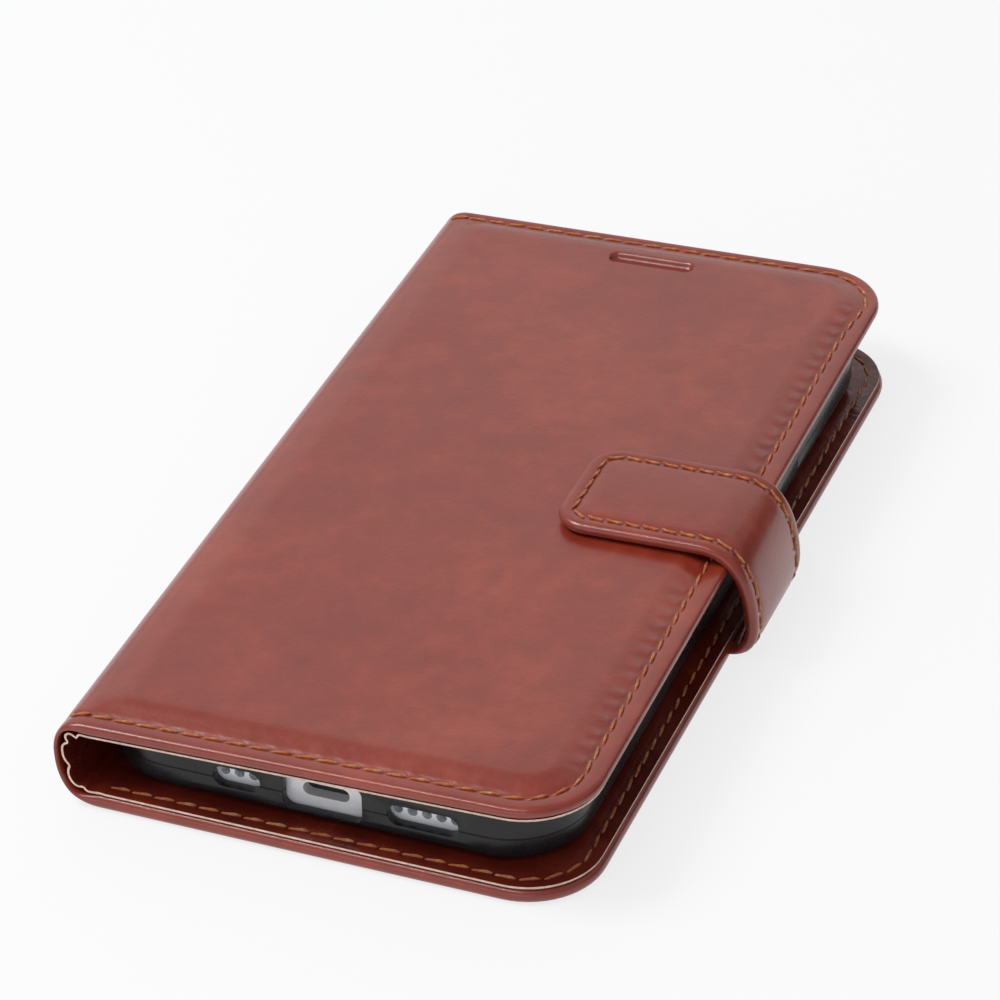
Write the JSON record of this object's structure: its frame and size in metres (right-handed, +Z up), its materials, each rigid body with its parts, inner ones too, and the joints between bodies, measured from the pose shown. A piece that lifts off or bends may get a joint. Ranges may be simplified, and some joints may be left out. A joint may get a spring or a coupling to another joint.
{
  "type": "phone wallet case",
  "caption": "Book-style leather wallet case for a phone: padded front cover with card pockets, soft spine, rubber phone tray and a magnetic strap.",
  "frame": {"origin": "centre of the closed case's footprint, on the surface that the back cover lies on", "axes": "+X from the spine to the free edge with the strap, +Y along the spine from the charging port to the phone's top, +Z up out of the front cover"},
  "size_m": [0.0868, 0.1592, 0.0205],
  "materials": {
    "outer_leather": "glossy",
    "lining_leather": "glossy",
    "board": "matte",
    "foam": "matte",
    "tray_rubber": "satin",
    "thread": "satin",
    "glue": "matte",
    "steel": "satin",
    "magnet": "satin"
  },
  "bodies": {
    "back_cover": {"back_outer_skin": "outer_leather", "back_board": "board", "back_lining": "lining_leather", "back_stitching": "thread", "strap_root_tab": "outer_leather", "shell_adhesive": "glue", "phone_shell": "tray_rubber"},
    "power_key": {"power_button": "tray_rubber"},
    "volume_up_key": {"volume_up_button": "tray_rubber"},
    "volume_down_key": {"volume_down_button": "tray_rubber"},
    "spine": {"spine_skin": "outer_leather", "spine_lining": "lining_leather"},
    "front_cover": {"front_outer_skin": "outer_leather", "front_padding": "foam", "front_board": "board", "front_lining": "lining_leather", "front_stitching": "thread", "closure_plate": "steel", "cash_pocket": "lining_leather", "card_pocket_1": "lining_leather", "card_pocket_2": "lining_leather", "card_pocket_3": "lining_leather", "pocket_stitching": "thread"},
    "strap_side": {"strap_side_skin": "outer_leather", "strap_side_lining": "lining_leather", "strap_side_stitching": "thread"},
    "strap_tip": {"strap_tip_skin": "outer_leather", "strap_tip_lining": "lining_leather", "strap_tip_stitching": "thread", "strap_magnet": "magnet"}
  },
  "joints": [
    {"name": "spine_fold", "type": "hinge", "parent": "back_cover", "child": "spine", "pos_m": [-0.03939, 0, 0.0016], "axis": [0, -1, 0], "range_deg": [0, 76.5]},
    {"name": "cover_fold", "type": "hinge", "parent": "spine", "child": "front_cover", "pos_m": [-0.04195, 0, 0.01425], "axis": [0, -1, 0], "range_deg": [0, 101.6], "deforming": ["strap_side_skin", "strap_side_lining", "strap_side_stitching", "strap_tip_skin", "strap_tip_lining", "strap_tip_stitching", "strap_magnet"]},
    {"name": "strap_root_fold", "type": "hinge", "parent": "back_cover", "child": "strap_side", "pos_m": [0.04061, 0, 0.0022], "axis": [0, 1, 0], "range_deg": [0, 84]},
    {"name": "strap_tip_fold", "type": "hinge", "parent": "strap_side", "child": "strap_tip", "pos_m": [0.04195, 0, 0.01508], "axis": [0, 1, 0], "range_deg": [0, 60]},
    {"name": "power_press", "type": "slide", "parent": "back_cover", "child": "power_key", "axis": [-1, 0, 0], "range_m": [0, 0.0004], "stiffness_N_per_m": 900},
    {"name": "volume_up_press", "type": "slide", "parent": "back_cover", "child": "volume_up_key", "axis": [1, 0, 0], "range_m": [0, 0.0004], "stiffness_N_per_m": 900},
    {"name": "volume_down_press", "type": "slide", "parent": "back_cover", "child": "volume_down_key", "axis": [1, 0, 0], "range_m": [0, 0.0004], "stiffness_N_per_m": 900}
  ]
}
